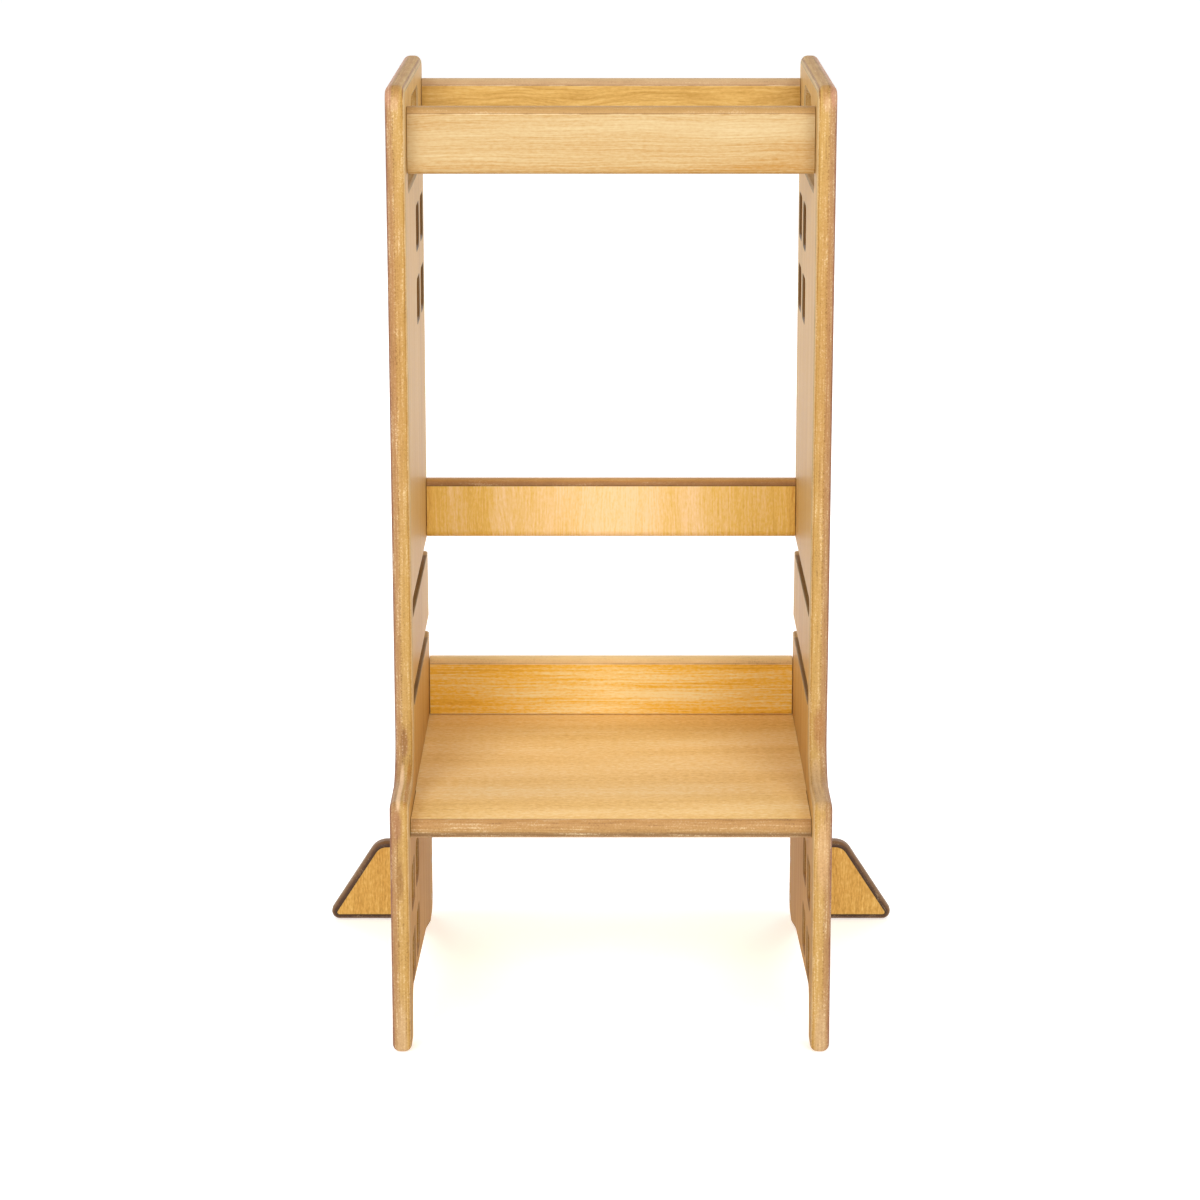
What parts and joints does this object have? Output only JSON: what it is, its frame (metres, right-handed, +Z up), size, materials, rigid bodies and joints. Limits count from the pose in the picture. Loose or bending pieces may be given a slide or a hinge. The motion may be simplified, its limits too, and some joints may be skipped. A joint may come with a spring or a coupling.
{
  "type": "children's helper tower",
  "caption": "Wooden children's step tower: two tall side panels, top rails, a sliding step with riser board and triangular side stabilisers.",
  "frame": {"origin": "on the floor at the centre of the overall bounding box", "axes": "+Z up, +Y from the open front towards the back rails, +X to the right seen from the front"},
  "size_m": [0.584, 0.413, 0.9],
  "materials": {
    "panel_wood": "satin lacquered birch plywood with rounded edges that show the plies",
    "rail_wood": "satin lacquered pale veneer, fine straight grain",
    "step_wood": "satin lacquered golden veneer, lively grain",
    "zinc_steel": "bright zinc plating",
    "beech_dowel": "raw turned beech"
  },
  "bodies": {
    "frame": {"side_panel_left": "panel_wood", "side_panel_right": "panel_wood", "stabiliser_left": "panel_wood", "stabiliser_right": "panel_wood", "front_top_rail": "rail_wood", "rear_top_rail": "rail_wood", "middle_rail": "rail_wood", "front_top_rail_left_screw_1": "zinc_steel", "front_top_rail_left_screw_2": "zinc_steel", "front_top_rail_right_screw_1": "zinc_steel", "front_top_rail_right_screw_2": "zinc_steel", "rear_top_rail_left_screw_1": "zinc_steel", "rear_top_rail_left_screw_2": "zinc_steel", "rear_top_rail_right_screw_1": "zinc_steel", "rear_top_rail_right_screw_2": "zinc_steel", "middle_rail_left_screw_1": "zinc_steel", "middle_rail_left_screw_2": "zinc_steel", "middle_rail_right_screw_1": "zinc_steel", "middle_rail_right_screw_2": "zinc_steel", "stabiliser_left_screw_1": "zinc_steel", "stabiliser_left_screw_2": "zinc_steel", "stabiliser_right_screw_1": "zinc_steel", "stabiliser_right_screw_2": "zinc_steel", "front_top_rail_left_dowel_1": "beech_dowel", "front_top_rail_right_dowel_1": "beech_dowel", "rear_top_rail_left_dowel_1": "beech_dowel", "rear_top_rail_right_dowel_1": "beech_dowel", "middle_rail_left_dowel_1": "beech_dowel", "middle_rail_right_dowel_1": "beech_dowel", "stabiliser_left_dowel_1": "beech_dowel", "stabiliser_right_dowel_1": "beech_dowel"},
    "step": {"platform": "step_wood", "platform_riser": "step_wood", "riser_screw_1": "zinc_steel", "riser_screw_2": "zinc_steel", "riser_screw_3": "zinc_steel", "riser_dowel_1": "beech_dowel", "riser_dowel_2": "beech_dowel"}
  },
  "joints": [
    {"name": "step_slide", "type": "slide", "parent": "frame", "child": "step", "axis": [0, 1, 0], "range_m": [0, 0.29]}
  ]
}
